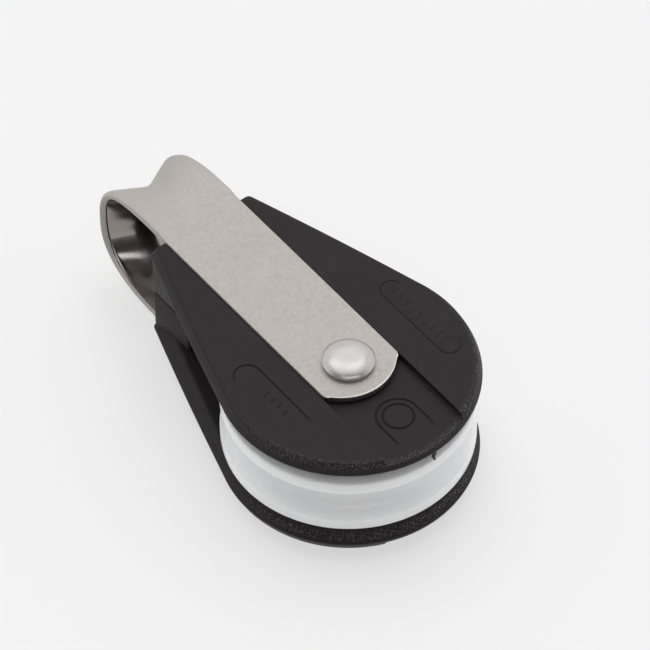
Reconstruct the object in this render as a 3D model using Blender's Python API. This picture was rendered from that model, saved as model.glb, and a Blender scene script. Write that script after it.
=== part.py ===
"""Single sheave block: two moulded cheeks and a plain-bearing sheave, riveted between the legs of a strap.

The axle runs along Z and the strap's eye points along +Y. The flat of the lower rivet head lies on Z = 0,
so the block's mid-plane is at Z = MID_PLANE. Dimensions are in millimetres and are scaled once, by MM.
"""

import math

import bmesh
import bpy

MM = 0.001
MID_PLANE = 8.5
GAP = 0.2  # left between pieces that touch on the real block

# Cheeks: a round plate that narrows along two tangents to a square head
CHEEK_RADIUS = 14.5
HEAD_Y = 26.7
HEAD_HALF_WIDTH = 6.95
CHEEK_INNER_Z = 4.6
CHEEK_OUTER_Z = 7.25
CHEEK_INNER_ROUND = 1.3
CHEEK_OUTER_ROUND = 0.6
RIM_STEPS = 3
CHEEK_ARC_STEPS = 44

# Half web at the head of each cheek, and the pegs that register the two halves
WEB_REAR_Y = 20.0
WEB_INSET = 0.2
WEB_OVERLAP = 0.6
PEG_X = 3.4
PEG_Y = 23.4
PEG_RADIUS = 1.0
PEG_LENGTH = 1.6
PEG_SEGMENTS = 16

# Strap: one strip, folded round the head
STRAP_HALF_WIDTH = 5.0
STRAP_THICKNESS = 0.8
STRAP_OUTER_Z = 7.45
STRAP_END_RADIUS = 6.7
STRAP_END_CENTRE_Y = 2.1
STRAP_HOLE_RADIUS = 2.15
CHANNEL_CLEARANCE = 0.25

# Eye: the fold is a saddle, with a valley along its middle, full lobes beside it and edges that roll back
CROWN_START_MIDDLE_Y = 29.3
CROWN_START_EDGE_Y = 27.7
CROWN_TOP_MIDDLE_Y = 37.7
CROWN_TOP_EDGE_Y = 39.85
CROWN_POWER_MIDDLE = 2.1
CROWN_POWER_EDGE = 2.7
CROWN_FLARE = 0.2
EDGE_ROLL = 0.8
EDGE_ROLL_START = 0.8
VALLEY_SOFTNESS = 0.25
VALLEY_POWER = 0.56
FLARE_START_Y = 26.7
CROWN_STEPS = 28
ACROSS_STEPS = 16
LEG_STEPS = 6

# Sheave and its axle
SHEAVE_RADIUS = 14.05
SHEAVE_HALF_WIDTH = 3.85
GROOVE_HALF_WIDTH = 2.3
GROOVE_DEPTH = 2.3
RIM_ROUND = 0.35
HUB_RADIUS = 5.4
RECESS_OUTER_RADIUS = 10.2
RECESS_DEPTH = 0.9
SLEEVE_RADIUS = 3.0
SLEEVE_BORE_RADIUS = 2.1
RUNNING_CLEARANCE = 0.07
BOSS_RADIUS = 4.8
SIDE_CLEARANCE = 0.25
SHANK_RADIUS = 2.0

# Rivet heads
RIVET_HEAD_RADIUS = 2.9
RIVET_RIM_Z = 8.05
RIVET_TOP_Z = 8.6
RIVET_FLAT_RADIUS = 1.7

ROUND_SEGMENTS = 64
SMALL_SEGMENTS = 40
SMOOTH_ANGLE = math.radians(40)


def clear_scene():
    for obj in list(bpy.data.objects):
        bpy.data.objects.remove(obj, do_unlink=True)


def make_material(name, colour, roughness, metallic):
    material = bpy.data.materials.new(name)
    material.use_nodes = True
    shader = material.node_tree.nodes["Principled BSDF"]
    shader.inputs["Base Color"].default_value = (*colour, 1.0)
    shader.inputs["Roughness"].default_value = roughness
    shader.inputs["Metallic"].default_value = metallic
    return material


def add_object(name, bm, material=None, parent=None):
    """Turn a bmesh in millimetres into an object in metres, its faces pointing out."""
    bmesh.ops.scale(bm, vec=(MM, MM, MM), verts=bm.verts)
    bmesh.ops.recalc_face_normals(bm, faces=bm.faces)
    mesh = bpy.data.meshes.new(name)
    bm.to_mesh(mesh)
    bm.free()
    mesh.shade_smooth()
    mesh.set_sharp_from_angle(angle=SMOOTH_ANGLE)
    obj = bpy.data.objects.new(name, mesh)
    bpy.context.scene.collection.objects.link(obj)
    if material:
        mesh.materials.append(material)
    obj.parent = parent
    return obj


def add_helper(name, bm, parent):
    """Add an operand of a Boolean, which is not a piece of the block."""
    helper = add_object(name, bm, parent=parent)
    helper.hide_render = True
    helper.display_type = "WIRE"
    return helper


def add_boolean(obj, operation, operand):
    modifier = obj.modifiers.new(operand.name, "BOOLEAN")
    modifier.operation = operation
    modifier.object = operand
    modifier.solver = "EXACT"


def box(x_range, y_range, z_range):
    bm = bmesh.new()
    bmesh.ops.create_cube(bm, size=1.0)
    for vert in bm.verts:
        for axis, (low, high) in enumerate((x_range, y_range, z_range)):
            vert.co[axis] = low if vert.co[axis] < 0 else high
    return bm


def cylinder(radius, z_low, z_high, x=0.0, y=0.0, segments=SMALL_SEGMENTS):
    bm = bmesh.new()
    bmesh.ops.create_cone(
        bm, cap_ends=True, segments=segments, radius1=radius, radius2=radius, depth=z_high - z_low
    )
    bmesh.ops.translate(bm, verts=bm.verts, vec=(x, y, (z_low + z_high) / 2))
    return bm


def turned(profile, segments):
    """Spin (radius, height) points about Z: a closed section, or a line that starts and ends on the axis."""
    bm = bmesh.new()
    verts = [bm.verts.new((radius, 0.0, height)) for radius, height in profile]
    edges = [bm.edges.new(pair) for pair in zip(verts, verts[1:])]
    if profile[0][0] > 0:
        edges.append(bm.edges.new((verts[-1], verts[0])))
    bmesh.ops.spin(
        bm,
        geom=verts + edges,
        cent=(0, 0, 0),
        axis=(0, 0, 1),
        angle=2 * math.pi,
        steps=segments,
        use_merge=True,
    )
    bmesh.ops.remove_doubles(bm, verts=bm.verts, dist=1e-4)
    return bm


def loft(rings):
    """Join closed rings of points in order, and cap the first and the last."""
    bm = bmesh.new()
    rows = [[bm.verts.new(point) for point in ring] for ring in rings]
    for lower, upper in zip(rows, rows[1:]):
        for i in range(len(lower)):
            j = (i + 1) % len(lower)
            bm.faces.new((lower[i], lower[j], upper[j], upper[i]))
    bm.faces.new(rows[0])
    bm.faces.new(rows[-1])
    return bm


def arc(radius, start, end, steps):
    """Points (x, y) on a circle about the origin, both ends included."""
    angles = [start + (end - start) * i / steps for i in range(steps + 1)]
    return [(radius * math.cos(angle), radius * math.sin(angle)) for angle in angles]


def cheek_outline(inset, z):
    """The cheek's edge, moved in by inset: the round part, then the two head corners."""
    radius = CHEEK_RADIUS - inset
    corner_x = HEAD_HALF_WIDTH - inset
    corner_y = HEAD_Y - inset
    corner_angle = math.atan2(corner_y, corner_x)
    tangent = corner_angle - math.acos(radius / math.hypot(corner_x, corner_y))
    points = arc(radius, tangent, -math.pi - tangent, CHEEK_ARC_STEPS)
    points += [(-corner_x, corner_y), (corner_x, corner_y)]
    return [(x, y, z) for x, y in points]


def cheek_plate():
    """The plate, its edge rounded on both faces, more on the inner one, where the rope rubs."""
    rings = []
    for radius, centre_z, first in (
        (CHEEK_INNER_ROUND, CHEEK_INNER_Z + CHEEK_INNER_ROUND, -90),
        (CHEEK_OUTER_ROUND, CHEEK_OUTER_Z - CHEEK_OUTER_ROUND, 0),
    ):
        for i in range(RIM_STEPS + 1):
            angle = math.radians(first + 90 * i / RIM_STEPS)
            rings.append(cheek_outline(radius * (1 - math.cos(angle)), centre_z + radius * math.sin(angle)))
    return loft(rings)


def make_cheek(name, material, turn):
    """A cheek, built as the upper one about the mid-plane and then turned about the long axis."""
    cheek = add_object(name, cheek_plate(), material)
    web_face_z = GAP / 2
    channel_floor_z = STRAP_OUTER_Z - STRAP_THICKNESS - GAP
    channel_half_width = STRAP_HALF_WIDTH + CHANNEL_CLEARANCE
    web_half_width = HEAD_HALF_WIDTH - WEB_INSET
    boss_inner_z = SHEAVE_HALF_WIDTH + SIDE_CLEARANCE
    peg_inner_z = web_face_z - PEG_LENGTH
    socket_end_z = web_face_z + PEG_LENGTH + GAP
    far = 2 * HEAD_Y
    added = (
        ("web", box(
            (-web_half_width, web_half_width),
            (WEB_REAR_Y, HEAD_Y - WEB_INSET),
            (web_face_z, CHEEK_INNER_Z + WEB_OVERLAP),
        )),
        ("boss", cylinder(BOSS_RADIUS, boss_inner_z, CHEEK_INNER_Z + WEB_OVERLAP)),
        ("peg", cylinder(PEG_RADIUS, peg_inner_z, WEB_OVERLAP, PEG_X, PEG_Y, PEG_SEGMENTS)),
    )
    removed = (
        ("socket", cylinder(PEG_RADIUS + GAP, -far, socket_end_z, -PEG_X, PEG_Y, PEG_SEGMENTS)),
        ("channel", box(
            (-channel_half_width, channel_half_width), (-far, far), (channel_floor_z, far)
        )),
        ("bore", cylinder(SLEEVE_RADIUS + GAP, -far, far)),
    )
    for operation, helpers in (("UNION", added), ("DIFFERENCE", removed)):
        for part, bm in helpers:
            add_boolean(cheek, operation, add_helper(f"{name}_{part}", bm, cheek))
    cheek.location = (0, 0, MID_PLANE * MM)
    cheek.rotation_euler = (0, turn, 0)
    return cheek


def smooth_step(value):
    value = min(max(value, 0.0), 1.0)
    return value * value * (3 - 2 * value)


def valley_share(share):
    """How far the eye's section has changed, from 0 at its middle to 1 at its edges."""
    soft = VALLEY_SOFTNESS**VALLEY_POWER
    full = (1 + VALLEY_SOFTNESS**2) ** (VALLEY_POWER / 2)
    here = (share**2 + VALLEY_SOFTNESS**2) ** (VALLEY_POWER / 2)
    return (here - soft) / (full - soft)


def between(middle, edge, share):
    return middle + (edge - middle) * share


def strap_column(x):
    """The strap's outer surface at one place across it, as (y, z) from the upper leg's end to the lower one's."""
    across = abs(x) / STRAP_HALF_WIDTH
    share = valley_share(across)
    roll = max(0.0, (across - EDGE_ROLL_START) / (1 - EDGE_ROLL_START)) ** 2
    end_y = STRAP_END_CENTRE_Y - math.sqrt(STRAP_END_RADIUS**2 - x**2)
    start_y = between(CROWN_START_MIDDLE_Y, CROWN_START_EDGE_Y, share)
    depth = between(CROWN_TOP_MIDDLE_Y, CROWN_TOP_EDGE_Y, share) - EDGE_ROLL * roll - start_y
    exponent = 2 / between(CROWN_POWER_MIDDLE, CROWN_POWER_EDGE, share)
    leg = []
    for i in range(LEG_STEPS):
        y = between(end_y, start_y, 1 - (1 - i / LEG_STEPS) ** 2)
        rise = smooth_step((y - FLARE_START_Y) / (start_y - FLARE_START_Y))
        leg.append((y, STRAP_OUTER_Z + CROWN_FLARE * share * rise))
    crown = []
    for i in range(CROWN_STEPS + 1):
        angle = math.pi * i / CROWN_STEPS
        out, up = math.sin(angle), math.cos(angle)
        height = (STRAP_OUTER_Z + CROWN_FLARE * share) * math.copysign(abs(up) ** exponent, up)
        crown.append((start_y + depth * max(out, 0.0) ** exponent, height))
    return leg + crown + [(y, -z) for y, z in reversed(leg)]


def make_strap(material):
    """A closed sheet: the outer surface, and the same surface moved in along its normals."""
    xs = [STRAP_HALF_WIDTH * (2 * i / ACROSS_STEPS - 1) for i in range(ACROSS_STEPS + 1)]
    bm = bmesh.new()
    outer = [[bm.verts.new((x, y, z)) for y, z in strap_column(x)] for x in xs]
    rows = len(outer[0])
    for left, right in zip(outer, outer[1:]):
        for i in range(rows - 1):
            bm.faces.new((left[i], right[i], right[i + 1], left[i + 1]))
    bm.normal_update()
    inner = [[bm.verts.new(vert.co - STRAP_THICKNESS * vert.normal) for vert in column] for column in outer]
    for left, right in zip(inner, inner[1:]):
        for i in range(rows - 1):
            bm.faces.new((left[i + 1], right[i + 1], right[i], left[i]))
    for outside, inside in ((outer[0], inner[0]), (outer[-1], inner[-1])):
        for i in range(rows - 1):
            bm.faces.new((outside[i], outside[i + 1], inside[i + 1], inside[i]))
    for row in (0, rows - 1):
        for i in range(len(xs) - 1):
            bm.faces.new((outer[i][row], outer[i + 1][row], inner[i + 1][row], inner[i][row]))
    strap = add_object("strap", bm, material)
    hole = cylinder(STRAP_HOLE_RADIUS, -2 * STRAP_OUTER_Z, 2 * STRAP_OUTER_Z, segments=24)
    add_boolean(strap, "DIFFERENCE", add_helper("strap_hole", hole, strap))
    strap.location = (0, 0, MID_PLANE * MM)


def half_groove(steps):
    """The groove's lower half as (radius, height), from its bottom to the rim, an arc through both."""
    chord = GROOVE_HALF_WIDTH
    arc_radius = (chord**2 + GROOVE_DEPTH**2) / (2 * GROOVE_DEPTH)
    centre = SHEAVE_RADIUS - GROOVE_DEPTH + arc_radius
    half_angle = math.asin(chord / arc_radius)
    angles = [half_angle * i / steps for i in range(steps + 1)]
    return [(centre - arc_radius * math.cos(a), -arc_radius * math.sin(a)) for a in angles]


def make_sheave(material):
    groove = half_groove(5)
    lower = groove[:]
    for angle in (30, 60, 90):
        turn = math.radians(angle)
        lower.append((
            SHEAVE_RADIUS - RIM_ROUND * (1 - math.cos(turn)),
            -(SHEAVE_HALF_WIDTH - RIM_ROUND) - RIM_ROUND * math.sin(turn),
        ))
    lower += [
        (RECESS_OUTER_RADIUS, -SHEAVE_HALF_WIDTH),
        (RECESS_OUTER_RADIUS - RECESS_DEPTH / 2, -SHEAVE_HALF_WIDTH + RECESS_DEPTH),
        (HUB_RADIUS + RECESS_DEPTH / 2, -SHEAVE_HALF_WIDTH + RECESS_DEPTH),
        (HUB_RADIUS, -SHEAVE_HALF_WIDTH),
        (SLEEVE_RADIUS + RUNNING_CLEARANCE, -SHEAVE_HALF_WIDTH),
    ]
    upper = [(radius, -height) for radius, height in reversed(lower)]
    sheave = add_object("sheave", turned(lower + upper[:-1], ROUND_SEGMENTS), material)
    sheave.location = (0, 0, MID_PLANE * MM)


def make_sleeve(material):
    half_length = STRAP_OUTER_Z - STRAP_THICKNESS - GAP
    profile = [
        (SLEEVE_BORE_RADIUS, -half_length),
        (SLEEVE_RADIUS, -half_length),
        (SLEEVE_RADIUS, half_length),
        (SLEEVE_BORE_RADIUS, half_length),
    ]
    sleeve = add_object("axle_sleeve", turned(profile, ROUND_SEGMENTS), material)
    sleeve.location = (0, 0, MID_PLANE * MM)


def dome(rim_z, top_z, flat_radius, steps):
    """(radius, height) points over a rivet head, from its rim to its flat or its middle."""
    points = []
    for i in range(steps + 1):
        radius = RIVET_HEAD_RADIUS + (flat_radius - RIVET_HEAD_RADIUS) * i / steps
        share = (radius - flat_radius) / (RIVET_HEAD_RADIUS - flat_radius)
        points.append((radius, rim_z + (top_z - rim_z) * (1 - share**2)))
    return points


def make_rivet(material):
    underside = STRAP_OUTER_Z + GAP
    upper = dome(RIVET_RIM_Z, RIVET_TOP_Z, 0.0, 5)
    lower = [(radius, -height) for radius, height in dome(RIVET_RIM_Z, MID_PLANE, RIVET_FLAT_RADIUS, 4)]
    profile = [(0.0, -MID_PLANE)]
    profile += reversed(lower)
    profile += [
        (RIVET_HEAD_RADIUS, -underside),
        (SHANK_RADIUS, -underside),
        (SHANK_RADIUS, underside),
        (RIVET_HEAD_RADIUS, underside),
    ]
    profile += upper
    rivet = add_object("rivet", turned(profile, SMALL_SEGMENTS), material)
    rivet.location = (0, 0, MID_PLANE * MM)


def main():
    clear_scene()
    nylon = make_material("black_nylon", (0.032, 0.032, 0.035), 0.55, 0.0)
    stainless = make_material("stainless_strap", (0.50, 0.47, 0.45), 0.38, 1.0)
    polished = make_material("stainless_turned", (0.62, 0.60, 0.58), 0.18, 1.0)
    acetal = make_material("white_acetal", (0.72, 0.74, 0.76), 0.35, 0.0)
    make_strap(stainless)
    make_cheek("upper_cheek", nylon, 0.0)
    make_cheek("lower_cheek", nylon, math.pi)
    make_sheave(acetal)
    make_sleeve(polished)
    make_rivet(polished)


main()
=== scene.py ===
"""Looks of the single sheave block: fine surfaces, materials, floor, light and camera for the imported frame.

Every piece is modelled about the axle's middle, in millimetres, and placed by the frame's own boxes.
+Z runs along the axle, +Y towards the head eye.
"""

import math

import bmesh
import bpy
from mathutils import Matrix, Vector


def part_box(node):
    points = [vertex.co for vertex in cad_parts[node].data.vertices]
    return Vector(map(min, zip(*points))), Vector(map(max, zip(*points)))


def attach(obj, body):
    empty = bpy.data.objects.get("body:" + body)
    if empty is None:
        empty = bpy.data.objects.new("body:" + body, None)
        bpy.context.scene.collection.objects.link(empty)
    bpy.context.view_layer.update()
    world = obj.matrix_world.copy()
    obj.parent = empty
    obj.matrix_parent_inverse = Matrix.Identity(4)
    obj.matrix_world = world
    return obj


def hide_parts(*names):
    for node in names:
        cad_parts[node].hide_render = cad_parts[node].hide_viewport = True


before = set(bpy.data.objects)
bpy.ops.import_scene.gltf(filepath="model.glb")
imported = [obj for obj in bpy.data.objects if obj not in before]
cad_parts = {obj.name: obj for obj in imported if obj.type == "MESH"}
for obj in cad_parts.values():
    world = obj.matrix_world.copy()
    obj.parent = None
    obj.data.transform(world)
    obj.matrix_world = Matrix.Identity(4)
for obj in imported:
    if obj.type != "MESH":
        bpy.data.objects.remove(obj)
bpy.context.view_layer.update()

MM = 0.001


def cad_size(node):
    """(lowest corner, highest corner) of a CAD node about the middle of the axle, in millimetres."""
    low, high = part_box(node)
    middle = Vector((0, 0, MID_PLANE))
    return low / MM - middle, high / MM - middle


MID_PLANE = sum(corner.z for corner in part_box("sheave")) / 2 / MM
CHEEK_LOW, CHEEK_HIGH = cad_size("upper_cheek")
SHEAVE_HIGH = cad_size("sheave")[1]
SLEEVE_HIGH = cad_size("axle_sleeve")[1]
RIVET_LOW, RIVET_HIGH = cad_size("rivet")

# Cheeks
CHEEK_RADIUS = -CHEEK_LOW.y
HEAD_Y = CHEEK_HIGH.y
CHEEK_OUTER_Z = CHEEK_HIGH.z
CHEEK_THICKNESS = 2.65
CHEEK_INNER_Z = CHEEK_OUTER_Z - CHEEK_THICKNESS
HEAD_HALF_WIDTH = 6.95
HEAD_CORNER_ROUND = 0.45
HEAD_INSET_SHARE = 0.95
FLANK_BOW = 0.12
RIM_INSET = 0.58
RIM_CORNER_ROUND = 0.3
RIM_RUN_IN = 0.6
INNER_BEVEL = 1.2
PARTING_Z = 5.85
PARTING_DRAFT = 0.12
PARTING_RISE = 0.4
WEB_REAR_Y = 20.0
WEB_HALF_WIDTH = 6.78
WEB_FACE_Z = 0.07
WEB_CHAMFER = 0.12
WEB_HEAD_STEP = 0.05
WEB_WELD = 0.7
BOSS_RADIUS = 4.8
BOSS_WELD = 0.6
SLEEVE_HOLE_CLEARANCE = 0.1
PEG_X = 3.4
PEG_Y = 23.4
PEG_RADIUS = 1.0
PEG_LENGTH = 1.6
PEG_HOLE_CLEARANCE = 0.12
PEG_HOLE_SPARE = 0.3

# Thread of flash on the upper cheek's rim, about a place on its parting line: (x, y, z) and radius
FLASH_X = 0.2
FLASH_INSET = 0.33
FLASH_PATH = ((-0.9, 0.0, 0.3), (-0.1, -0.02, 0.1), (0.25, -0.05, -0.4), (0.15, 0.0, -1.0), (0.35, 0.0, -1.6))
FLASH_RADII = (0.14, 0.26, 0.24, 0.19, 0.14)

# Strap
STRAP_THICKNESS = 0.8
STRAP_HALF_WIDTH = 5.0
STRAP_OUTER_Z = 7.45
STRAP_END_RADIUS = 6.7
STRAP_END_CENTRE_Y = 2.1
STRAP_CORNER_ROUND = 0.7
STRAP_CORNER_LEAD = 0.25
STRAP_CORNER_DROP = 0.28
STRAP_EDGE_ROUND = 0.16
STRAP_EDGE_POWER = 0.6
STRAP_HOLE_RADIUS = 2.12
EDGE_POINTS = 9
EDGE_POLISHED = 3
CROWN_START_MIDDLE_Y = 29.3
CROWN_START_EDGE_Y = 27.7
CROWN_TOP_MIDDLE_Y = 37.7
CROWN_TOP_EDGE_Y = 39.81
CROWN_POWER_MIDDLE = 2.1
CROWN_POWER_EDGE = 2.7
CROWN_FLARE = 0.2
EDGE_ROLL = 0.8
EDGE_ROLL_START = 0.8
VALLEY_SOFTNESS = 0.25
VALLEY_POWER = 0.56
FLARE_START_Y = HEAD_Y
LEG_SPACING_POWER = 1.35
EYE_DULL_Y = 33.0
EYE_BRIGHT_Y = 37.0

# Channel that the strap lies in, along each cheek
CHANNEL_FLOOR_CLEARANCE = 0.15
CHANNEL_SIDE_CLEARANCE = 0.18
CHANNEL_FLOOR_Z = STRAP_OUTER_Z - STRAP_THICKNESS - CHANNEL_FLOOR_CLEARANCE
CHANNEL_HALF_WIDTH = STRAP_HALF_WIDTH + CHANNEL_SIDE_CLEARANCE
CHANNEL_EDGE_ROUND = 0.14
CHANNEL_CORNER = 0.1

# Moulded marks: a line's section as (across, rise) shares of its width and depth; each line's (width, depth)
LINE_SECTION = ((-0.8, 0.35), (-0.5, 0.0), (-0.14, -1.0), (0.14, -1.0), (0.5, 0.0), (0.8, 0.35))
LINE_END_TAPER = 0.25
FAINT_LINE = (0.26, 0.08)
HOOK_LINE = (0.30, 0.12)
HOOK_RIB_LINE = (0.24, 0.1)
WHEEL_LINE = (0.32, 0.14)
CAPSULE_CENTRE = (10.2, 0.4)
CAPSULE_HALF_LENGTH = 5.0
CAPSULE_RADIUS = 1.25
CAPSULE_GAP = 14
RIB_PITCH = 1.1
HOOK_CENTRE = (-9.6, 0.9)
HOOK_HALF_LENGTH = 4.4
HOOK_TAIL = 9.6
HOOK_RADIUS = 1.5
WHEEL_Y = -8.6
WHEEL_RADIUS = 1.7
ROPE_RADIUS = 2.4
ROPE_TAIL = 3.1

# Sheave, sleeve and rivet
SHEAVE_RADIUS = SHEAVE_HIGH.x
SHEAVE_HALF_WIDTH = SHEAVE_HIGH.z
SHEAVE_SIDE_CLEARANCE = 0.25
BOSS_INNER_Z = SHEAVE_HALF_WIDTH + SHEAVE_SIDE_CLEARANCE
GROOVE_HALF_WIDTH = 2.3
GROOVE_DEPTH = 2.3
RIM_ROUND = 0.3
HUB_RADIUS = 5.4
RECESS_OUTER_RADIUS = 10.2
RECESS_DEPTH = 0.9
SLEEVE_RADIUS = SLEEVE_HIGH.x
SLEEVE_BORE_RADIUS = 2.1
SLEEVE_EDGE_ROUND = 0.2
RUNNING_CLEARANCE = 0.07
SHEAVE_BORE_RADIUS = SLEEVE_RADIUS + RUNNING_CLEARANCE
SHANK_RADIUS = 2.0
RIVET_HEAD_RADIUS = RIVET_HIGH.x
RIVET_RIM_Z = 8.0
RIVET_RIM_ROUND = 0.16
RIVET_RIM_DROP = 0.06
RIVET_EDGE_ROUND = 0.03
RIVET_FOOT_INSET = 0.12
RIVET_FOOT_RISE = 0.08
RIVET_SEAT_GAP = 0.02
RIVET_DIMPLE_RADIUS = 0.5
RIVET_DIMPLE_DEPTH = 0.02
RIVET_DIMPLE_WALL_DEPTH = 0.008
RIVET_DOME_POWER = 3.2
RIVET_DOME_STEPS = 12
RIVET_FLAT_RADIUS = 1.7
RIVET_FLAT_ROUND = 0.2
BOX_MARGIN = 0.003

# Camera, about the middle of the axle
VIEW_AZIMUTH = math.radians(-37.78)
VIEW_ELEVATION = math.radians(49.32)
VIEW_ROLL = math.radians(-0.23)
VIEW_DISTANCE = 500.2
VIEW_TARGET = Vector((5.17, 10.77, 0.0))
LENS = 250.8
SENSOR = 36.0

# Light and floor; the floor glows a little like a lit sweep, so that shadows on it stay soft
FLOOR_GREY = (0.28, 0.28, 0.28)
FLOOR_GLOW = 2.05
WALL_LIGHT = 1.2
DIM_WALL_LIGHT = 0.10
DIM_SIDE_ELEVATION = 42
DIM_SIDE_START = 0.25
DIM_SIDE_FULL = 0.95
TOP_SOFTBOX = {"azimuth": 25, "elevation": 78, "size_mm": (900, 900), "power": 2.3}
FRONT_STRIP = {"azimuth": 208, "elevation": 50, "size_mm": (900, 200), "power": 1.25}
LIGHT_DISTANCE = 900
LIGHT_TARGET_Y = 10

# Colours, as (darkest, palest)
NYLON_COLOURS = ((0.0080, 0.0072, 0.0080), (0.0120, 0.0104, 0.0116))
# Paler rim colour: partly wear, partly painted glints of light on the rim's rough grain
NYLON_RUBBED_AND_GLINT = (0.10, 0.095, 0.09)
NYLON_SHEEN = (1.0, 0.88, 0.93, 1)
SATIN_COLOURS = ((0.405, 0.385, 0.362), (0.445, 0.42, 0.40))
# Eye steel darker than bare steel: painted shade and dark reflection inside the eye
EYE_SHADED_COLOURS = ((0.27, 0.24, 0.225), (0.37, 0.335, 0.32))
CUT_EDGE_COLOURS = ((0.56, 0.54, 0.52), (0.62, 0.60, 0.58))
RIVET_COLOURS = ((0.39, 0.375, 0.36), (0.49, 0.47, 0.455))
ACETAL_COLOURS = ((0.80, 0.805, 0.815), (0.85, 0.85, 0.855))

# Mesh fineness, and the most of an edge that a rounded corner may take
CORNER_SHARE = 0.45
ROUND_STEPS = 192
SMOOTH_ANGLE = math.radians(32)
STRAP_SMOOTH_ANGLE = math.radians(50)


# Mesh helpers -------------------------------------------------------------------------------------------


def finish_mesh(name, bm, smooth_angle=SMOOTH_ANGLE):
    """Turn a bmesh about the axle's middle, in millimetres, into an object in the frame, in metres."""
    bmesh.ops.recalc_face_normals(bm, faces=bm.faces)
    bm.transform(Matrix.Scale(MM, 4) @ Matrix.Translation((0, 0, MID_PLANE)))
    mesh = bpy.data.meshes.new(name)
    bm.to_mesh(mesh)
    bm.free()
    mesh.shade_smooth()
    mesh.set_sharp_from_angle(angle=smooth_angle)
    obj = bpy.data.objects.new(name, mesh)
    bpy.context.scene.collection.objects.link(obj)
    return obj


def arc(centre, radius, start, end, steps):
    """Points on a circle in a plane, both ends included; the angles are in degrees."""
    points = []
    for i in range(steps + 1):
        angle = math.radians(start + (end - start) * i / steps)
        points.append((centre[0] + radius * math.cos(angle), centre[1] + radius * math.sin(angle)))
    return points


def loft(rings, looped=False):
    """Join closed rings of points in order, then cap the two ends or join the last ring to the first."""
    bm = bmesh.new()
    rows = [[bm.verts.new(point) for point in ring] for ring in rings]
    for lower, upper in zip(rows, rows[1:] + rows[:1] if looped else rows[1:]):
        for i in range(len(lower)):
            j = (i + 1) % len(lower)
            bm.faces.new((lower[i], lower[j], upper[j], upper[i]))
    if not looped:
        bm.faces.new(rows[0])
        bm.faces.new(rows[-1])
    return bm


def turned(profile, steps=ROUND_STEPS):
    """Spin a profile of (radius, height) points about Z; it is a loop, or it starts and ends on the axis."""
    closed = profile[0][0] > 0
    bm = bmesh.new()
    rings = []
    for radius, height in profile:
        if radius == 0:
            rings.append([bm.verts.new((0, 0, height))] * steps)
            continue
        angles = [2 * math.pi * i / steps for i in range(steps)]
        rings.append([bm.verts.new((radius * math.cos(a), radius * math.sin(a), height)) for a in angles])
    pairs = list(zip(rings, rings[1:]))
    if closed:
        pairs.append((rings[-1], rings[0]))
    for lower, upper in pairs:
        for i in range(steps):
            j = (i + 1) % steps
            corners = (lower[i], lower[j], upper[j], upper[i])
            bm.faces.new(dict.fromkeys(corners))
    return bm


def rounded(points, radius, steps=5):
    """Round the inner corners of an open profile of (radius, height) points."""
    result = [points[0]]
    for before, corner, after in zip(points, points[1:], points[2:]):
        corner = Vector(corner)
        into = Vector(before) - corner
        out = Vector(after) - corner
        reach = min(radius, into.length * CORNER_SHARE, out.length * CORNER_SHARE)
        start = corner + into.normalized() * reach
        end = corner + out.normalized() * reach
        for i in range(steps + 1):
            t = i / steps
            point = start * (1 - t) ** 2 + corner * 2 * t * (1 - t) + end * t**2
            result.append(tuple(point))
    result.append(points[-1])
    return result


def apply_boolean(obj, operation, tool):
    """Join a solid to obj or cut it away, and drop the tool."""
    modifier = obj.modifiers.new(operation, "BOOLEAN")
    modifier.operation = operation
    modifier.object = tool
    modifier.solver = "EXACT"
    bpy.context.view_layer.update()
    graph = bpy.context.evaluated_depsgraph_get()
    result = bpy.data.meshes.new_from_object(obj.evaluated_get(graph))
    obj.modifiers.clear()
    old = obj.data
    obj.data = result
    result.name = obj.name
    bpy.data.meshes.remove(old)
    bpy.data.objects.remove(tool, do_unlink=True)


# Cheeks -------------------------------------------------------------------------------------------------


def cheek_outline(inset):
    """The cheek's edge, moved in by inset: a round part, bowed flanks and a square head."""
    radius = CHEEK_RADIUS - inset
    corner = Vector((HEAD_HALF_WIDTH - inset * HEAD_INSET_SHARE, HEAD_Y - inset))
    tangent = math.atan2(corner.y, corner.x) - math.acos(radius / corner.length)
    points = arc((0, 0), radius, math.degrees(tangent), -180 - math.degrees(tangent), 176)
    touch = Vector(points[0])
    along = (corner - touch).normalized()
    outward = Vector((along.y, -along.x))
    flank = []
    flank_steps = 24
    flank_length = (corner - touch).length - HEAD_CORNER_ROUND
    for i in range(1, flank_steps):
        share = i / flank_steps
        bow = FLANK_BOW * math.sin(math.pi * share)
        flank.append(touch + along * flank_length * share + outward * bow)
    flank_end = touch + along * flank_length
    head_start = corner - Vector((HEAD_CORNER_ROUND, 0))
    right = flank[:]
    corner_steps = 6
    for i in range(corner_steps + 1):
        t = i / corner_steps
        right.append(flank_end * (1 - t) ** 2 + corner * 2 * t * (1 - t) + head_start * t**2)
    left = [Vector((-point.x, point.y)) for point in right]
    return points + [tuple(point) for point in left] + [tuple(point) for point in reversed(right)]


def rim_section():
    """(inset, z) points of the cheek's edge, from the inner face over the parting line to the outer face."""
    corners = [
        (INNER_BEVEL + RIM_RUN_IN, CHEEK_INNER_Z),
        (INNER_BEVEL, CHEEK_INNER_Z),
        (0.0, PARTING_Z),
        (PARTING_DRAFT, PARTING_Z + PARTING_RISE),
        (RIM_INSET, CHEEK_OUTER_Z),
        (RIM_INSET + RIM_RUN_IN, CHEEK_OUTER_Z),
    ]
    return rounded(corners, RIM_CORNER_ROUND, 4)


def cheek_plate(name):
    rings = [[(x, y, z) for x, y in cheek_outline(inset)] for inset, z in rim_section()]
    return finish_mesh(name, loft(rings))


def rounded_box_outline(half_width, rear_y, front_y, radius):
    """The head web's outline, seen along Z, with round corners."""
    points = []
    for x, y, start in (
        (half_width - radius, front_y - radius, 0),
        (-half_width + radius, front_y - radius, 90),
        (-half_width + radius, rear_y + radius, 180),
        (half_width - radius, rear_y + radius, 270),
    ):
        points += arc((x, y), radius, start, start + 90, 6)
    return points


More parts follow.
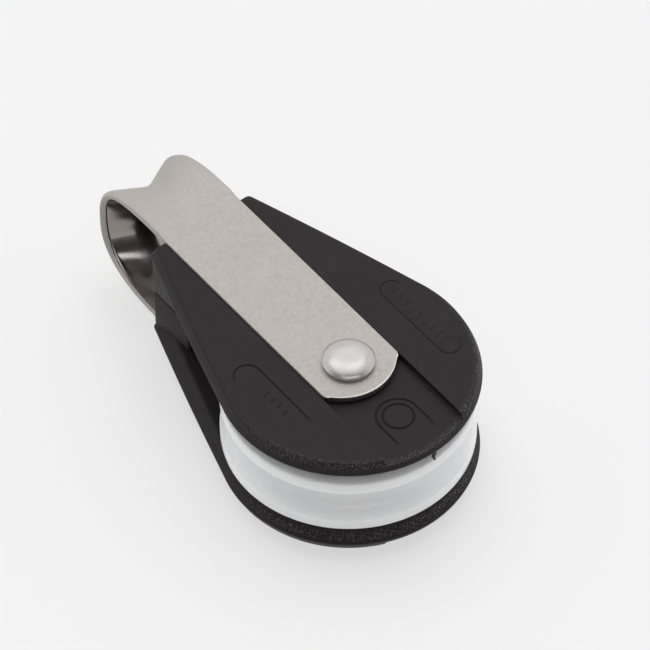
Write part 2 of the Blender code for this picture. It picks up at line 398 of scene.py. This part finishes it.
def head_web():
    """Half of the head web, its edges chamfered where the two halves meet."""
    rings = []
    for inset, z in (
        (WEB_CHAMFER, WEB_FACE_Z),
        (WEB_CHAMFER / 3, WEB_FACE_Z + WEB_CHAMFER / 3),
        (0.0, WEB_FACE_Z + WEB_CHAMFER),
        (0.0, CHEEK_INNER_Z + WEB_WELD),
    ):
        front_y = HEAD_Y - WEB_HEAD_STEP - inset
        outline = rounded_box_outline(WEB_HALF_WIDTH - inset, WEB_REAR_Y + inset, front_y, HEAD_CORNER_ROUND)
        rings.append([(x, y, z) for x, y in outline])
    return finish_mesh("web_tool", loft(rings))


def round_tool(radius, z_low, z_high, x=0.0, y=0.0, steps=64):
    circle = arc((x, y), radius, 0, 360 - 360 / steps, steps - 1)
    rings = [[(px, py, z) for px, py in circle] for z in (z_low, z_high)]
    return finish_mesh("round_tool", loft(rings))


def channel_tool():
    """A bar that cuts the strap's channel; it flares at the top, which rounds the channel's lips."""
    top = CHEEK_OUTER_Z
    half = CHANNEL_HALF_WIDTH
    lip = CHANNEL_EDGE_ROUND
    side = arc((half + lip, top - lip), lip, 180, 90, 5)
    floor = [(half - CHANNEL_CORNER, CHANNEL_FLOOR_Z), (half, CHANNEL_FLOOR_Z + CHANNEL_CORNER)]
    section = floor + side + [(half + lip, top + 1)]
    section = section + [(-x, z) for x, z in reversed(section)]
    rings = [[(x, y, z) for x, z in section] for y in (-2 * CHEEK_RADIUS, 2 * HEAD_Y)]
    return finish_mesh("channel_tool", loft(rings))


def groove_tool(path, surface_z, width, depth):
    """A V-shaped bar along a path of (x, y) points; a path that ends where it starts makes a ring."""
    closed = (Vector(path[0]) - Vector(path[-1])).length < 1e-6
    points = [Vector(point) for point in (path[:-1] if closed else path)]
    count = len(points)
    rings = []
    for i, point in enumerate(points):
        before = points[i - 1] if closed else points[max(i - 1, 0)]
        after = points[(i + 1) % count] if closed else points[min(i + 1, count - 1)]
        along = (after - before).normalized()
        across = Vector((-along.y, along.x))
        taper = LINE_END_TAPER if not closed and i in (0, count - 1) else 1.0
        ring = []
        for offset, rise in LINE_SECTION:
            place = point + across * offset * width
            ring.append((place.x, place.y, surface_z + rise * depth * (taper if rise < 0 else 1.0)))
        rings.append(ring)
    return finish_mesh("groove_tool", loft(rings, closed))


def capsule_path(centre, half_length, radius, gap=0.0):
    """A long round-ended outline along Y, left open by gap at its tail end."""
    x, y = centre
    path = arc((x, y + half_length), radius, 0, 180, 14)
    path += arc((x, y - half_length), radius, 180, 360 - gap, 14)
    if gap == 0:
        path.append(path[0])
    return path


def ribs(centre_x, first_y, count, half_width, half_rise):
    """Short V-shaped ribs, one above the other."""
    paths = []
    for i in range(count):
        y = first_y + RIB_PITCH * i
        left = (centre_x - half_width, y - half_rise)
        right = (centre_x + half_width, y + half_rise)
        paths.append([left, (centre_x, y), right])
    return paths


def engraved_marks():
    """Generic marks as (path, surface z, (width, depth)): a ribbed capsule, a ribbed hook, a roped wheel."""
    marks = []
    x, y = CAPSULE_CENTRE
    capsule = capsule_path(CAPSULE_CENTRE, CAPSULE_HALF_LENGTH, CAPSULE_RADIUS, gap=CAPSULE_GAP)
    marks.append((capsule, CHEEK_OUTER_Z, FAINT_LINE))
    for path in ribs(x, y - 4 * RIB_PITCH, 9, 0.55, 0.12):
        marks.append((path, CHEEK_OUTER_Z, FAINT_LINE))
    x, y = HOOK_CENTRE
    bend_y = y + HOOK_HALF_LENGTH
    hook = arc((x, bend_y), HOOK_RADIUS, 170, 0, 12)
    hook += [(x + HOOK_RADIUS, bend_y - HOOK_TAIL * i / 10) for i in range(1, 11)]
    marks.append((hook, CHEEK_OUTER_Z, HOOK_LINE))
    for path in ribs(x, y - 2 * RIB_PITCH, 4, 0.45, 0.1):
        marks.append((path, CHEEK_OUTER_Z, HOOK_RIB_LINE))
    marks.append((arc((0, WHEEL_Y), WHEEL_RADIUS, 0, 360, 40), CHANNEL_FLOOR_Z, WHEEL_LINE))
    rope = [(-ROPE_RADIUS, WHEEL_Y - ROPE_TAIL + ROPE_TAIL * i / 5) for i in range(5)]
    rope += arc((0, WHEEL_Y), ROPE_RADIUS, 180, 0, 24)
    rope += [(ROPE_RADIUS, WHEEL_Y - ROPE_TAIL * i / 5) for i in range(1, 6)]
    marks.append((rope, CHANNEL_FLOOR_Z, WHEEL_LINE))
    return marks


def moulding_flash():
    """A thread of flash left hanging from the parting line, thicker where it starts."""
    start = Vector((FLASH_X, -math.sqrt((CHEEK_RADIUS - FLASH_INSET) ** 2 - FLASH_X**2), PARTING_Z))
    rings = []
    for place, radius in zip(FLASH_PATH, FLASH_RADII):
        centre = start + Vector(place)
        rings.append([centre + Vector((x, y, 0)) for x, y in arc((0, 0), radius, 0, 315, 7)])
    return finish_mesh("flash_tool", loft(rings))


def make_cheek(name, node, turn, material):
    """Build the upper cheek and turn it about the long axis for the lower one."""
    cheek = cheek_plate(name)
    if turn == 0.0:
        apply_boolean(cheek, "UNION", moulding_flash())
    apply_boolean(cheek, "UNION", head_web())
    apply_boolean(cheek, "UNION", round_tool(BOSS_RADIUS, BOSS_INNER_Z, CHEEK_INNER_Z + BOSS_WELD))
    apply_boolean(cheek, "DIFFERENCE", channel_tool())
    sleeve_hole = round_tool(SLEEVE_RADIUS + SLEEVE_HOLE_CLEARANCE, 0, 2 * CHEEK_OUTER_Z)
    apply_boolean(cheek, "DIFFERENCE", sleeve_hole)
    hole_radius = PEG_RADIUS + PEG_HOLE_CLEARANCE
    peg_hole = round_tool(hole_radius, -1, PEG_LENGTH + PEG_HOLE_SPARE, -PEG_X, PEG_Y, 40)
    apply_boolean(cheek, "DIFFERENCE", peg_hole)
    apply_boolean(cheek, "UNION", round_tool(PEG_RADIUS, -PEG_LENGTH, 1, PEG_X, PEG_Y, 40))
    for path, surface_z, (width, depth) in engraved_marks():
        apply_boolean(cheek, "DIFFERENCE", groove_tool(path, surface_z, width, depth))
    middle = Vector((0, 0, MID_PLANE * MM))
    turned_over = Matrix.Rotation(turn, 4, "Y")
    cheek.data.transform(Matrix.Translation(middle) @ turned_over @ Matrix.Translation(-middle))
    cheek.data.shade_smooth()
    cheek.data.set_sharp_from_angle(angle=SMOOTH_ANGLE)
    dress(cheek, "frame", node, material)


# Strap --------------------------------------------------------------------------------------------------


def smooth_step(value):
    value = min(max(value, 0.0), 1.0)
    return value * value * (3 - 2 * value)


def strap_half_width(y):
    """The strap's half width, which drops over the rounded corners of its two ends."""
    corner_y = STRAP_END_CENTRE_Y - math.sqrt(STRAP_END_RADIUS**2 - STRAP_HALF_WIDTH**2)
    short = max(0.0, 1 - (y - corner_y + STRAP_CORNER_LEAD) / STRAP_CORNER_ROUND)
    return STRAP_HALF_WIDTH - STRAP_CORNER_DROP * min(short, 1.0) ** 2


def between(middle, edge, share):
    return middle + (edge - middle) * share


def valley_share(across):
    """How far the eye's section has changed, from 0 at its middle to 1 at its edges."""
    soft = VALLEY_SOFTNESS**VALLEY_POWER
    full = (1 + VALLEY_SOFTNESS**2) ** (VALLEY_POWER / 2)
    here = (across**2 + VALLEY_SOFTNESS**2) ** (VALLEY_POWER / 2)
    return (here - soft) / (full - soft)


def strap_column(place, crown_steps, leg_steps):
    """Points (x, y, z) on the strap's outer surface, at one share of its half width, from end to end."""
    x = place * STRAP_HALF_WIDTH
    across = abs(place)
    share = valley_share(across)
    roll = max(0.0, (across - EDGE_ROLL_START) / (1 - EDGE_ROLL_START)) ** 2
    end_y = STRAP_END_CENTRE_Y - math.sqrt(STRAP_END_RADIUS**2 - x**2)
    start_y = between(CROWN_START_MIDDLE_Y, CROWN_START_EDGE_Y, share)
    depth = between(CROWN_TOP_MIDDLE_Y, CROWN_TOP_EDGE_Y, share) - EDGE_ROLL * roll - start_y
    exponent = 2 / between(CROWN_POWER_MIDDLE, CROWN_POWER_EDGE, share)
    leg = []
    for i in range(leg_steps):
        y = between(end_y, start_y, (i / leg_steps) ** LEG_SPACING_POWER)
        rise = smooth_step((y - FLARE_START_Y) / (start_y - FLARE_START_Y))
        leg.append((place * strap_half_width(y), y, STRAP_OUTER_Z + CROWN_FLARE * share * rise))
    crown = []
    for i in range(crown_steps + 1):
        angle = math.pi * i / crown_steps
        out, up = math.sin(angle), math.cos(angle)
        height = (STRAP_OUTER_Z + CROWN_FLARE * share) * math.copysign(abs(up) ** exponent, up)
        crown.append((x, start_y + depth * max(out, 0.0) ** exponent, height))
    return leg + crown + [(px, py, -pz) for px, py, pz in reversed(leg)]


def strap_surfaces(across_steps=56, crown_steps=96, leg_steps=90):
    """The strap's outer surface as rows of points, and its normals."""
    shares = [math.sin(math.pi / 2 * (2 * i / across_steps - 1)) for i in range(across_steps + 1)]
    columns = [[Vector(p) for p in strap_column(share, crown_steps, leg_steps)] for share in shares]
    rows = len(columns[0])
    normals = []
    for i, column in enumerate(columns):
        left = columns[max(i - 1, 0)]
        right = columns[min(i + 1, across_steps)]
        line = []
        for j in range(rows):
            along = column[min(j + 1, rows - 1)] - column[max(j - 1, 0)]
            across = right[j] - left[j]
            line.append(across.cross(along).normalized())
        normals.append(line)
    return columns, normals


def strap_edge_section():
    """(rise, reach) of the points round a tumbled edge, from the outer surface to the inner one."""
    flat = STRAP_THICKNESS / 2 - STRAP_EDGE_ROUND
    section = []
    for k in range(1, EDGE_POINTS + 1):
        turn = math.pi / 2 - math.pi * k / (EDGE_POINTS + 1)
        lift = abs(math.sin(turn))
        rise = min(lift * STRAP_EDGE_ROUND * 2, STRAP_EDGE_ROUND) + flat * lift
        reach = STRAP_EDGE_ROUND * math.cos(turn) ** STRAP_EDGE_POWER
        section.append((math.copysign(rise, math.sin(turn)), reach))
    return section


def make_strap(materials):
    """A sheet of even thickness with tumbled edges: each row across it is closed into a rounded ring."""
    columns, normals = strap_surfaces()
    rows = len(columns[0])
    half = STRAP_THICKNESS / 2
    bm = bmesh.new()
    rings = []
    for j in range(rows):
        ring = []
        for sign, order in ((1, range(len(columns))), (-1, range(len(columns) - 1, -1, -1))):
            for i in order:
                centre = columns[i][j] - normals[i][j] * half
                ring.append(centre + normals[i][j] * half * sign)
            last = columns[order[-1]][j]
            normal = normals[order[-1]][j]
            neighbour = columns[order[-2]][j]
            outward = (last - neighbour).normalized()
            middle = last - normal * half
            for rise, reach in strap_edge_section():
                ring.append(middle + normal * rise * sign + outward * reach)
        rings.append([bm.verts.new(point) for point in ring])
    count = len(rings[0])
    side = len(columns)
    for lower, upper in zip(rings, rings[1:]):
        for i in range(count):
            k = (i + 1) % count
            face = bm.faces.new((lower[i], lower[k], upper[k], upper[i]))
            face.material_index = strap_surface_slot(i, side)
    for ring in (rings[0], rings[-1]):
        cap_end(bm, ring, side)
    strap = finish_mesh("strap_sheet", bm, STRAP_SMOOTH_ANGLE)
    for material in materials:
        strap.data.materials.append(material)
    hole = round_tool(STRAP_HOLE_RADIUS, -2 * STRAP_OUTER_Z, 2 * STRAP_OUTER_Z, steps=64)
    apply_boolean(strap, "DIFFERENCE", hole)
    strap.data.shade_smooth()
    strap.data.set_sharp_from_angle(angle=STRAP_SMOOTH_ANGLE)
    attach(strap, "frame")
    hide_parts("strap")


def strap_surface_slot(place, side):
    """The material slot at a place round the section: 1 on the inside and its rounded edges, else 0."""
    first = side + EDGE_POINTS - EDGE_POLISHED
    last = 2 * side + EDGE_POINTS - 1 + EDGE_POLISHED
    return 1 if first <= place < last else 0


def cap_end(bm, ring, side):
    """Close one end of the strap between its outer and its inner row, rounded like its long edges."""
    outer = ring[:side]
    inner = list(reversed(ring[side + EDGE_POINTS : 2 * side + EDGE_POINTS]))
    first = ring[side : side + EDGE_POINTS]
    second = ring[2 * side + EDGE_POINTS :]
    previous = [outer[0]] + list(reversed(second)) + [inner[0]]
    for i in range(1, side):
        if i == side - 1:
            column = [outer[-1]] + first + [inner[-1]]
        else:
            top, bottom = outer[i].co, inner[i].co
            column = [outer[i]]
            for rise, reach in strap_edge_section():
                level = (top + bottom) / 2 + (top - bottom) * rise / STRAP_THICKNESS
                column.append(bm.verts.new(level - Vector((0, reach, 0))))
            column.append(inner[i])
        for a, b, c, d in zip(previous, column, column[1:], previous[1:]):
            bm.faces.new((a, b, c, d)).material_index = 2
        previous = column


# Turned pieces ------------------------------------------------------------------------------------------


def sheave_profile():
    """The lower half from the groove's bottom to the bore, then the same mirrored."""
    chord = GROOVE_HALF_WIDTH
    radius = (chord**2 + GROOVE_DEPTH**2) / (2 * GROOVE_DEPTH)
    centre = SHEAVE_RADIUS - GROOVE_DEPTH + radius
    half_angle = math.degrees(math.asin(chord / radius))
    groove = [(r, z) for r, z in arc((centre, 0), radius, 180, 180 + half_angle, 20)]
    rim = [
        groove[-1],
        (SHEAVE_RADIUS, -SHEAVE_HALF_WIDTH),
        (RECESS_OUTER_RADIUS, -SHEAVE_HALF_WIDTH),
        (RECESS_OUTER_RADIUS - RECESS_DEPTH / 2, -SHEAVE_HALF_WIDTH + RECESS_DEPTH),
        (HUB_RADIUS + RECESS_DEPTH / 2, -SHEAVE_HALF_WIDTH + RECESS_DEPTH),
        (HUB_RADIUS, -SHEAVE_HALF_WIDTH),
        (SHEAVE_BORE_RADIUS, -SHEAVE_HALF_WIDTH),
        (SHEAVE_BORE_RADIUS, 0),
    ]
    lower = rounded(groove[-4:] + rim[1:], RIM_ROUND, 7)
    lower = groove[:-4] + lower
    return lower + [(r, -z) for r, z in reversed(lower[1:-1])]


def make_sheave(material):
    sheave = finish_mesh("sheave_wheel", turned(sheave_profile(), 256))
    dress(sheave, "sheave", "sheave", material)


def make_sleeve(material):
    top = SLEEVE_HIGH.z
    half = [
        (SLEEVE_BORE_RADIUS, 0),
        (SLEEVE_BORE_RADIUS, top),
        (SLEEVE_RADIUS, top),
        (SLEEVE_RADIUS, 0),
    ]
    upper = rounded(half, SLEEVE_EDGE_ROUND, 4)
    profile = upper + [(r, -z) for r, z in reversed(upper[1:-1])]
    tube = finish_mesh("axle_tube", turned(profile, 128))
    dress(tube, "frame", "axle_sleeve", material)


def rivet_head(tip, level, flat_radius, power, steps):
    """(radius, height) points of a head, from the edge of its flat at the tip down to its rim's level."""
    points = []
    for i in range(steps + 1):
        radius = flat_radius + (RIVET_HEAD_RADIUS - RIVET_RIM_ROUND - flat_radius) * i / steps
        share = (radius - flat_radius) / (RIVET_HEAD_RADIUS - flat_radius)
        points.append((radius, tip - (tip - level) * share**power))
    return points


def make_rivet(material):
    """A domed head with a faint dimple above, a shank, and a formed head with a flat below."""
    seat = STRAP_OUTER_Z + RIVET_SEAT_GAP
    top = RIVET_HIGH.z - BOX_MARGIN
    foot = -RIVET_LOW.z
    skirt = [
        (RIVET_HEAD_RADIUS, RIVET_RIM_Z - RIVET_RIM_DROP),
        (RIVET_HEAD_RADIUS - RIVET_EDGE_ROUND, seat + RIVET_FOOT_RISE),
        (RIVET_HEAD_RADIUS - RIVET_FOOT_INSET, seat),
        (SHANK_RADIUS, seat),
    ]
    dimple = [(0.0, top - RIVET_DIMPLE_DEPTH), (RIVET_DIMPLE_RADIUS / 2, top - RIVET_DIMPLE_WALL_DEPTH)]
    dome = rivet_head(top, RIVET_RIM_Z, RIVET_DIMPLE_RADIUS, RIVET_DOME_POWER, RIVET_DOME_STEPS)
    formed = rivet_head(foot, RIVET_RIM_Z, RIVET_FLAT_RADIUS, 2, RIVET_DOME_STEPS)
    flat = [(0.0, foot), (RIVET_FLAT_RADIUS - RIVET_FLAT_ROUND, foot)]
    lower = [(radius, -height) for radius, height in reversed(flat + formed + skirt)]
    pin = finish_mesh("rivet_pin", turned(dimple + dome + skirt + lower))
    dress(pin, "frame", "rivet", material)


def dress(obj, body, node, material):
    """Give a piece its material, attach it to the body it rides on, and hide the CAD node it stands for."""
    obj.data.materials.clear()
    obj.data.materials.append(material)
    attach(obj, body)
    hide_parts(node)


# Materials ----------------------------------------------------------------------------------------------


class Nodes:
    """A node material in the making, with its coordinates in the frame, in metres."""

    def __init__(self, name):
        self.material = bpy.data.materials.new(name)
        self.material.use_nodes = True
        self.tree = self.material.node_tree
        self.shader = self.tree.nodes["Principled BSDF"]
        self.place = self.add("ShaderNodeTexCoord").outputs["Object"]

    def add(self, kind, **settings):
        node = self.tree.nodes.new(kind)
        for key, value in settings.items():
            setattr(node, key, value)
        return node

    def link(self, output, socket):
        self.tree.links.new(output, socket)

    def noise(self, size_mm, detail=3.0, roughness=0.55, stretch=None):
        """Noise whose blotches are about size_mm across; stretch lengthens them along an axis."""
        node = self.add("ShaderNodeTexNoise")
        node.inputs["Scale"].default_value = 1.0 / (size_mm * MM)
        node.inputs["Detail"].default_value = detail
        node.inputs["Roughness"].default_value = roughness
        place = self.place
        if stretch:
            mapping = self.add("ShaderNodeMapping")
            mapping.inputs["Scale"].default_value = stretch
            self.link(place, mapping.inputs["Vector"])
            place = mapping.outputs["Vector"]
        self.link(place, node.inputs["Vector"])
        return node.outputs["Fac"]

    def ramp(self, value, low, high, stops=(0.35, 0.65)):
        """Map a value to a range of grey levels."""
        node = self.add("ShaderNodeMapRange")
        node.inputs["From Min"].default_value = stops[0]
        node.inputs["From Max"].default_value = stops[1]
        node.inputs["To Min"].default_value = low
        node.inputs["To Max"].default_value = high
        self.link(value, node.inputs["Value"])
        return node.outputs["Result"]

    def mix_colour(self, factor, *colours):
        """Mix two colours, each of them three numbers or another node's output."""
        node = self.add("ShaderNodeMix", data_type="RGBA")
        for socket, colour in zip((node.inputs["A"], node.inputs["B"]), colours):
            if isinstance(colour, tuple):
                socket.default_value = (*colour, 1)
            else:
                self.link(colour, socket)
        self.link(factor, node.inputs["Factor"])
        return node.outputs["Result"]

    def multiply(self, first, second):
        node = self.add("ShaderNodeMath", operation="MULTIPLY")
        self.link(first, node.inputs[0])
        self.link(second, node.inputs[1])
        return node.outputs[0]

    def rim_wear_and_glint(self):
        """1 along the cheeks' rounded edges, on their lower half, and 0 away from them; it marks where the
        rim is painted paler, partly for wear and partly as painted glints of light.
        """
        flat = self.add("ShaderNodeVectorMath", operation="MULTIPLY")
        flat.inputs[1].default_value = (1, 1, 0)
        self.link(self.place, flat.inputs[0])
        length = self.add("ShaderNodeVectorMath", operation="LENGTH")
        self.link(flat.outputs["Vector"], length.inputs[0])
        radius = length.outputs["Value"]
        inside = self.ramp(radius, 0.0, 1.0, ((CHEEK_RADIUS - 1.2) * MM, (CHEEK_RADIUS - 0.65) * MM))
        outside = self.ramp(radius, 1.0, 0.0, ((CHEEK_RADIUS - 0.35) * MM, (CHEEK_RADIUS - 0.1) * MM))
        axes = self.add("ShaderNodeSeparateXYZ")
        self.link(self.place, axes.inputs[0])
        lower_half = self.ramp(axes.outputs["Y"], 1.0, 0.0, (-6 * MM, 4 * MM))
        return self.multiply(self.multiply(inside, outside), lower_half)

    def bump(self, height, depth_mm, strength=1.0, after=None):
        node = self.add("ShaderNodeBump")
        node.inputs["Strength"].default_value = strength
        node.inputs["Distance"].default_value = depth_mm * MM
        self.link(height, node.inputs["Height"])
        if after:
            self.link(after, node.inputs["Normal"])
        return node.outputs["Normal"]


def nylon_material():
    """Black glass-filled nylon: a fine moulded grain, cloudy in tone, and paler along its rim, partly from
    wear and partly as painted glints of light.
    """
    nodes = Nodes("black_nylon")
    blotch = nodes.noise(6.0, 2.0)
    grain = nodes.noise(0.12, 2.0, 0.7)
    speckle = nodes.ramp(nodes.noise(0.2, 2.0, 0.6), 0.0, 1.0, (0.50, 0.72))
    colour = nodes.mix_colour(blotch, *NYLON_COLOURS)
    # Paler speckle on the rim: partly wear, partly painted glints of light
    rubbed_and_glint = nodes.multiply(speckle, nodes.rim_wear_and_glint())
    colour = nodes.mix_colour(rubbed_and_glint, colour, NYLON_RUBBED_AND_GLINT)
    nodes.link(colour, nodes.shader.inputs["Base Color"])
    nodes.link(nodes.ramp(grain, 0.44, 0.64), nodes.shader.inputs["Roughness"])
    nodes.shader.inputs["Specular IOR Level"].default_value = 0.24
    nodes.shader.inputs["Specular Tint"].default_value = NYLON_SHEEN
    coarse = nodes.bump(nodes.noise(0.45, 3.0), 0.02, 0.6)
    nodes.link(nodes.bump(grain, 0.012, 0.7, coarse), nodes.shader.inputs["Normal"])
    return nodes.material


def satin_steel_material():
    """Tumbled stainless steel, evenly dull with a fine mottle."""
    nodes = Nodes("satin_steel")
    mottle = nodes.noise(0.35, 4.0, 0.7)
    cloud = nodes.noise(7.0, 2.0)
    colour = nodes.mix_colour(cloud, *SATIN_COLOURS)
    nodes.link(colour, nodes.shader.inputs["Base Color"])
    nodes.shader.inputs["Metallic"].default_value = 1.0
    nodes.link(nodes.ramp(mottle, 0.54, 0.66), nodes.shader.inputs["Roughness"])
    nodes.link(nodes.bump(mottle, 0.004, 0.5), nodes.shader.inputs["Normal"])
    return nodes.material


def polished_steel_material(name, colours, roughness, bend_roughness, waviness_mm):
    """Polished steel, with its own roughness beyond the start of the eye's bend."""
    nodes = Nodes(name)
    cloud = nodes.noise(2.0, 3.0)
    colour = nodes.mix_colour(cloud, *colours)
    nodes.link(colour, nodes.shader.inputs["Base Color"])
    nodes.shader.inputs["Metallic"].default_value = 1.0
    axes = nodes.add("ShaderNodeSeparateXYZ")
    nodes.link(nodes.place, axes.inputs[0])
    polish = nodes.ramp(axes.outputs["Y"], roughness, bend_roughness, (EYE_DULL_Y * MM, EYE_BRIGHT_Y * MM))
    nodes.link(nodes.multiply(polish, nodes.ramp(cloud, 0.8, 1.3)), nodes.shader.inputs["Roughness"])
    nodes.link(nodes.bump(nodes.noise(1.2, 2.0), waviness_mm, 0.6), nodes.shader.inputs["Normal"])
    return nodes.material


def acetal_material():
    """White acetal: faintly cloudy, with the fine circular lines of its turning and a few rope scuffs."""
    nodes = Nodes("white_acetal")
    cloud = nodes.noise(5.0, 2.0)
    lines = nodes.noise(0.25, 2.0, 0.5, stretch=(0.15, 0.15, 3.0))
    scuffs = nodes.noise(1.1, 3.0, 0.6, stretch=(1.0, 1.0, 3.0))
    colour = nodes.mix_colour(cloud, *ACETAL_COLOURS)
    nodes.link(colour, nodes.shader.inputs["Base Color"])
    nodes.link(nodes.ramp(scuffs, 0.20, 0.28), nodes.shader.inputs["Roughness"])
    turned_lines = nodes.bump(lines, 0.004, 0.5)
    nodes.link(nodes.bump(scuffs, 0.004, 0.4, turned_lines), nodes.shader.inputs["Normal"])
    nodes.shader.inputs["Subsurface Weight"].default_value = 0.6
    nodes.shader.inputs["Subsurface Radius"].default_value = (1.0, 1.0, 1.0)
    nodes.shader.inputs["Subsurface Scale"].default_value = 0.0022
    return nodes.material


# Stage --------------------------------------------------------------------------------------------------


def make_floor():
    bm = bmesh.new()
    bmesh.ops.create_circle(bm, cap_ends=True, segments=96, radius=4.0)
    mesh = bpy.data.meshes.new("floor")
    bm.to_mesh(mesh)
    bm.free()
    floor = bpy.data.objects.new("floor", mesh)
    bpy.context.scene.collection.objects.link(floor)
    nodes = Nodes("pale_floor")
    nodes.shader.inputs["Roughness"].default_value = 0.6
    nodes.shader.inputs["Base Color"].default_value = (*FLOOR_GREY, 1)
    nodes.shader.inputs["Emission Color"].default_value = (*FLOOR_GREY, 1)
    nodes.shader.inputs["Emission Strength"].default_value = FLOOR_GLOW
    mesh.materials.append(nodes.material)


def add_area_light(name, azimuth, elevation, size_mm, power):
    """A softbox at a compass angle about the block, aimed at its middle. Azimuth 0 is +Y, 90 is +X."""
    data = bpy.data.lights.new(name, "AREA")
    data.shape = "RECTANGLE"
    data.size = size_mm[0] * MM
    data.size_y = size_mm[1] * MM
    data.energy = power
    light = bpy.data.objects.new(name, data)
    bpy.context.scene.collection.objects.link(light)
    turn = math.radians(azimuth)
    rise = math.radians(elevation)
    away = Vector((math.sin(turn) * math.cos(rise), math.cos(turn) * math.cos(rise), math.sin(rise)))
    target = Vector((0, LIGHT_TARGET_Y, MID_PLANE)) * MM
    light.location = target + away * LIGHT_DISTANCE * MM
    light.rotation_euler = away.to_track_quat("Z", "Y").to_euler()


def camera_side(elevation):
    """The direction from the block towards the camera's side, at an elevation in radians."""
    level = math.cos(elevation)
    return Vector((math.sin(VIEW_AZIMUTH) * level, -math.cos(VIEW_AZIMUTH) * level, math.sin(elevation)))


def make_world():
    """Pale walls all round, dimmer on the camera's side, where a room is dark behind the camera."""
    world = bpy.data.worlds.new("studio")
    bpy.context.scene.world = world
    world.use_nodes = True
    nodes = world.node_tree.nodes
    place = nodes.new("ShaderNodeTexCoord")
    facing = nodes.new("ShaderNodeVectorMath")
    facing.operation = "DOT_PRODUCT"
    facing.inputs[1].default_value = camera_side(math.radians(DIM_SIDE_ELEVATION))
    strength = nodes.new("ShaderNodeMapRange")
    strength.interpolation_type = "SMOOTHSTEP"
    strength.inputs["From Min"].default_value = DIM_SIDE_START
    strength.inputs["From Max"].default_value = DIM_SIDE_FULL
    strength.inputs["To Min"].default_value = WALL_LIGHT
    strength.inputs["To Max"].default_value = DIM_WALL_LIGHT
    links = world.node_tree.links
    links.new(place.outputs["Generated"], facing.inputs[0])
    links.new(facing.outputs["Value"], strength.inputs["Value"])
    links.new(strength.outputs["Result"], nodes["Background"].inputs["Strength"])
    nodes["Background"].inputs["Color"].default_value = (1.0, 1.0, 1.0, 1)


def make_light():
    make_world()
    add_area_light("top_softbox", **TOP_SOFTBOX)
    add_area_light("front_strip", **FRONT_STRIP)
    bpy.context.scene.view_settings.view_transform = "Standard"


def make_camera():
    data = bpy.data.cameras.new("camera")
    data.lens = LENS
    data.sensor_width = SENSOR
    data.clip_start = 0.01
    data.clip_end = 20
    camera = bpy.data.objects.new("camera", data)
    bpy.context.scene.collection.objects.link(camera)
    away = camera_side(VIEW_ELEVATION)
    target = VIEW_TARGET + Vector((0, 0, MID_PLANE))
    place = Matrix.Translation((target + away * VIEW_DISTANCE) * MM)
    turn = away.to_track_quat("Z", "Y").to_matrix().to_4x4()
    camera.matrix_world = place @ turn @ Matrix.Rotation(VIEW_ROLL, 4, "Z")
    bpy.context.scene.camera = camera


def main():
    nylon = nylon_material()
    satin = satin_steel_material()
    # The eye steel's darker colours are painted shade and reflection
    mirror = polished_steel_material("polished_eye_steel", EYE_SHADED_COLOURS, 0.32, 0.14, 0.006)
    edge = polished_steel_material("cut_edge_steel", CUT_EDGE_COLOURS, 0.24, 0.24, 0.003)
    head = polished_steel_material("polished_rivet_steel", RIVET_COLOURS, 0.33, 0.33, 0.008)
    make_camera()
    make_floor()
    make_light()
    make_cheek("upper_cheek_moulding", "upper_cheek", 0.0, nylon)
    make_cheek("lower_cheek_moulding", "lower_cheek", math.pi, nylon)
    make_strap((satin, mirror, edge))
    make_sheave(acetal_material())
    make_sleeve(head)
    make_rivet(head)


main()
